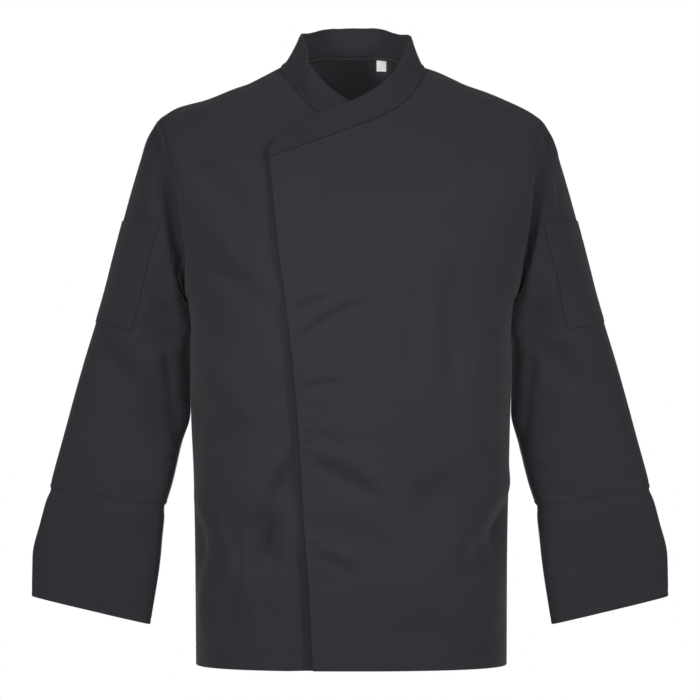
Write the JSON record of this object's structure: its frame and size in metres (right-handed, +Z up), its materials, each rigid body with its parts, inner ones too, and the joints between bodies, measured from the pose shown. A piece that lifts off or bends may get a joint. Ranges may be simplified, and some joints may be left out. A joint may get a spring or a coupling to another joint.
{
  "type": "chef jacket",
  "caption": "Long-sleeved chef jacket, filled out and hollow, with a stand collar, a slanting concealed front closure, deep cuffs and a patch pocket on each sleeve.",
  "frame": {"origin": "root of the neck, level with the high point of the shoulders and on the line of the shoulders, where the wearer holds the jacket up", "axes": "+Z up the wearer's back towards the head, -Y the way the front faces, +X towards the wearer's left sleeve"},
  "size_m": [0.814, 0.2657, 0.8163],
  "materials": {
    "twill": "fine twill of polyester and cotton, dark charcoal, matt with a faint sheen",
    "twill_band": "the same twill in two layers over stiffening",
    "label": "bare white satin ribbon"
  },
  "bodies": {
    "root": {"left_front": "twill", "right_front": "twill", "back": "twill", "collar": "twill_band", "left_sleeve": "twill", "right_sleeve": "twill", "left_cuff": "twill_band", "right_cuff": "twill_band", "left_sleeve_pocket": "twill", "right_sleeve_pocket": "twill", "size_label": "label"}
  },
  "joints": []
}
